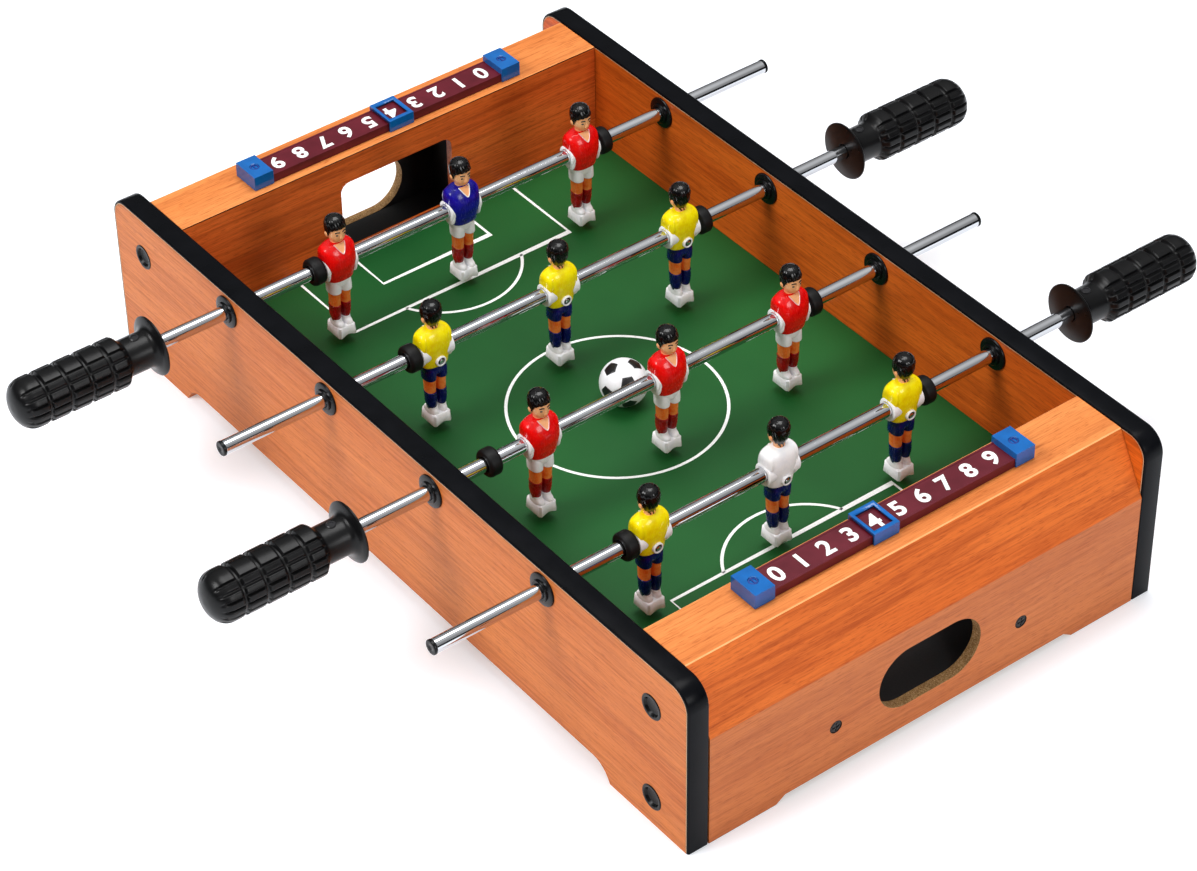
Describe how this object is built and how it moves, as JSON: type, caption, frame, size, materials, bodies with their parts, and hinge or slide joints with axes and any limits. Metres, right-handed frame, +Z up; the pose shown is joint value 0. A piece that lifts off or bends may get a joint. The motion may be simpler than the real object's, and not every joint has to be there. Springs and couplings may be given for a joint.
{
  "type": "tabletop foosball table",
  "caption": "Low wooden foosball cabinet with rounded black-edged sides, sliding and spinning player rods, goals that drop the ball into end trays, and sliding score markers.",
  "frame": {"origin": "middle of the cabinet's footprint, on the surface it stands on", "axes": "+X along the table towards the near goal, +Y along the rods, +Z up"},
  "size_m": [0.508, 0.5738, 0.1245],
  "materials": {
    "side_wood": "varnished orange wood grain",
    "end_wood": "varnished orange wood grain",
    "edging": "satin black edging",
    "field": "green printed board",
    "black_board": "black painted board",
    "chrome": "polished",
    "black_plastic": "satin",
    "rubber": "matt",
    "red": "glossy paint",
    "navy": "glossy paint",
    "yellow": "glossy paint",
    "white": "glossy",
    "maroon": "printed strip",
    "blue": "glossy"
  },
  "bodies": {
    "cabinet": {"side_panel_left": "side_wood", "edge_band_left": "edging", "side_panel_right": "side_wood", "edge_band_right": "edging", "end_shell_near": "end_wood", "goal_wall_near": "side_wood", "ball_tray_near": "black_board", "score_strip_near": "maroon", "score_end_piece_low_near": "blue", "score_end_piece_high_near": "blue", "end_shell_far": "end_wood", "goal_wall_far": "side_wood", "ball_tray_far": "black_board", "score_strip_far": "maroon", "score_end_piece_low_far": "blue", "score_end_piece_high_far": "blue", "playfield": "field", "bearing_handle_side_red_defence": "black_plastic", "bearing_tail_side_red_defence": "black_plastic", "bearing_handle_side_yellow_attack": "black_plastic", "bearing_tail_side_yellow_attack": "black_plastic", "bearing_handle_side_red_attack": "black_plastic", "bearing_tail_side_red_attack": "black_plastic", "bearing_handle_side_yellow_defence": "black_plastic", "bearing_tail_side_yellow_defence": "black_plastic"},
    "red_defence_travel": {"bumper_handle_side_red_defence": "rubber", "bumper_tail_side_red_defence": "rubber"},
    "red_defence_rod": {"rod_red_defence": "chrome", "handle_red_defence": "black_plastic", "rod_end_cap_red_defence": "black_plastic", "player_red_defence_1": "red", "keeper_red_defence": "navy", "player_red_defence_3": "red"},
    "yellow_attack_travel": {"bumper_handle_side_yellow_attack": "rubber", "bumper_tail_side_yellow_attack": "rubber"},
    "yellow_attack_rod": {"rod_yellow_attack": "chrome", "handle_yellow_attack": "black_plastic", "rod_end_cap_yellow_attack": "black_plastic", "player_yellow_attack_1": "yellow", "player_yellow_attack_2": "yellow", "player_yellow_attack_3": "yellow"},
    "red_attack_travel": {"bumper_tail_side_red_attack": "rubber"},
    "red_attack_rod": {"rod_red_attack": "chrome", "handle_red_attack": "black_plastic", "rod_end_cap_red_attack": "black_plastic", "player_red_attack_1": "red", "player_red_attack_2": "red", "player_red_attack_3": "red"},
    "yellow_defence_travel": {"bumper_handle_side_yellow_defence": "rubber", "bumper_tail_side_yellow_defence": "rubber"},
    "yellow_defence_rod": {"rod_yellow_defence": "chrome", "handle_yellow_defence": "black_plastic", "rod_end_cap_yellow_defence": "black_plastic", "player_yellow_defence_1": "yellow", "keeper_yellow_defence": "white", "player_yellow_defence_3": "yellow"},
    "red_attack_loose_bumper": {"bumper_handle_side_red_attack": "rubber"},
    "ball": {"ball": "white"},
    "score_marker_near": {"score_marker_near": "blue"},
    "score_marker_far": {"score_marker_far": "blue"}
  },
  "joints": [
    {"name": "red_defence_slide", "type": "slide", "parent": "cabinet", "child": "red_defence_travel", "axis": [0, 1, 0], "range_m": [-0.0373, 0.0373]},
    {"name": "red_defence_spin", "type": "hinge", "parent": "red_defence_travel", "child": "red_defence_rod", "pos_m": [-0.13995, 0, 0.0933], "axis": [0, 1, 0], "continuous": true},
    {"name": "yellow_attack_slide", "type": "slide", "parent": "cabinet", "child": "yellow_attack_travel", "axis": [0, 1, 0], "range_m": [-0.0343, 0.0403]},
    {"name": "yellow_attack_spin", "type": "hinge", "parent": "yellow_attack_travel", "child": "yellow_attack_rod", "pos_m": [-0.04665, 0, 0.0933], "axis": [0, 1, 0], "continuous": true},
    {"name": "red_attack_slide", "type": "slide", "parent": "cabinet", "child": "red_attack_travel", "axis": [0, 1, 0], "range_m": [-0.0343, 0.0403]},
    {"name": "red_attack_spin", "type": "hinge", "parent": "red_attack_travel", "child": "red_attack_rod", "pos_m": [0.04665, 0, 0.0933], "axis": [0, 1, 0], "continuous": true},
    {"name": "yellow_defence_slide", "type": "slide", "parent": "cabinet", "child": "yellow_defence_travel", "axis": [0, 1, 0], "range_m": [-0.0323, 0.0423]},
    {"name": "yellow_defence_spin", "type": "hinge", "parent": "yellow_defence_travel", "child": "yellow_defence_rod", "pos_m": [0.13995, 0, 0.0933], "axis": [0, 1, 0], "continuous": true},
    {"name": "red_attack_bumper_slide", "type": "slide", "parent": "cabinet", "child": "red_attack_loose_bumper", "axis": [0, 1, 0], "range_m": [-0.01715, 0.02015]},
    {"name": "ball_lift", "type": "slide", "parent": "cabinet", "child": "ball", "axis": [0, 0, 1], "range_m": [0, 0.1]},
    {"name": "score_near_slide", "type": "slide", "parent": "cabinet", "child": "score_marker_near", "axis": [0, 1, 0], "range_m": [-0.062, 0.0775]},
    {"name": "score_far_slide", "type": "slide", "parent": "cabinet", "child": "score_marker_far", "axis": [0, -1, 0], "range_m": [-0.062, 0.0775]}
  ],
  "couplings": [
    {"joint": "red_attack_bumper_slide", "follows": "red_attack_slide", "ratio": 0.5}
  ]
}
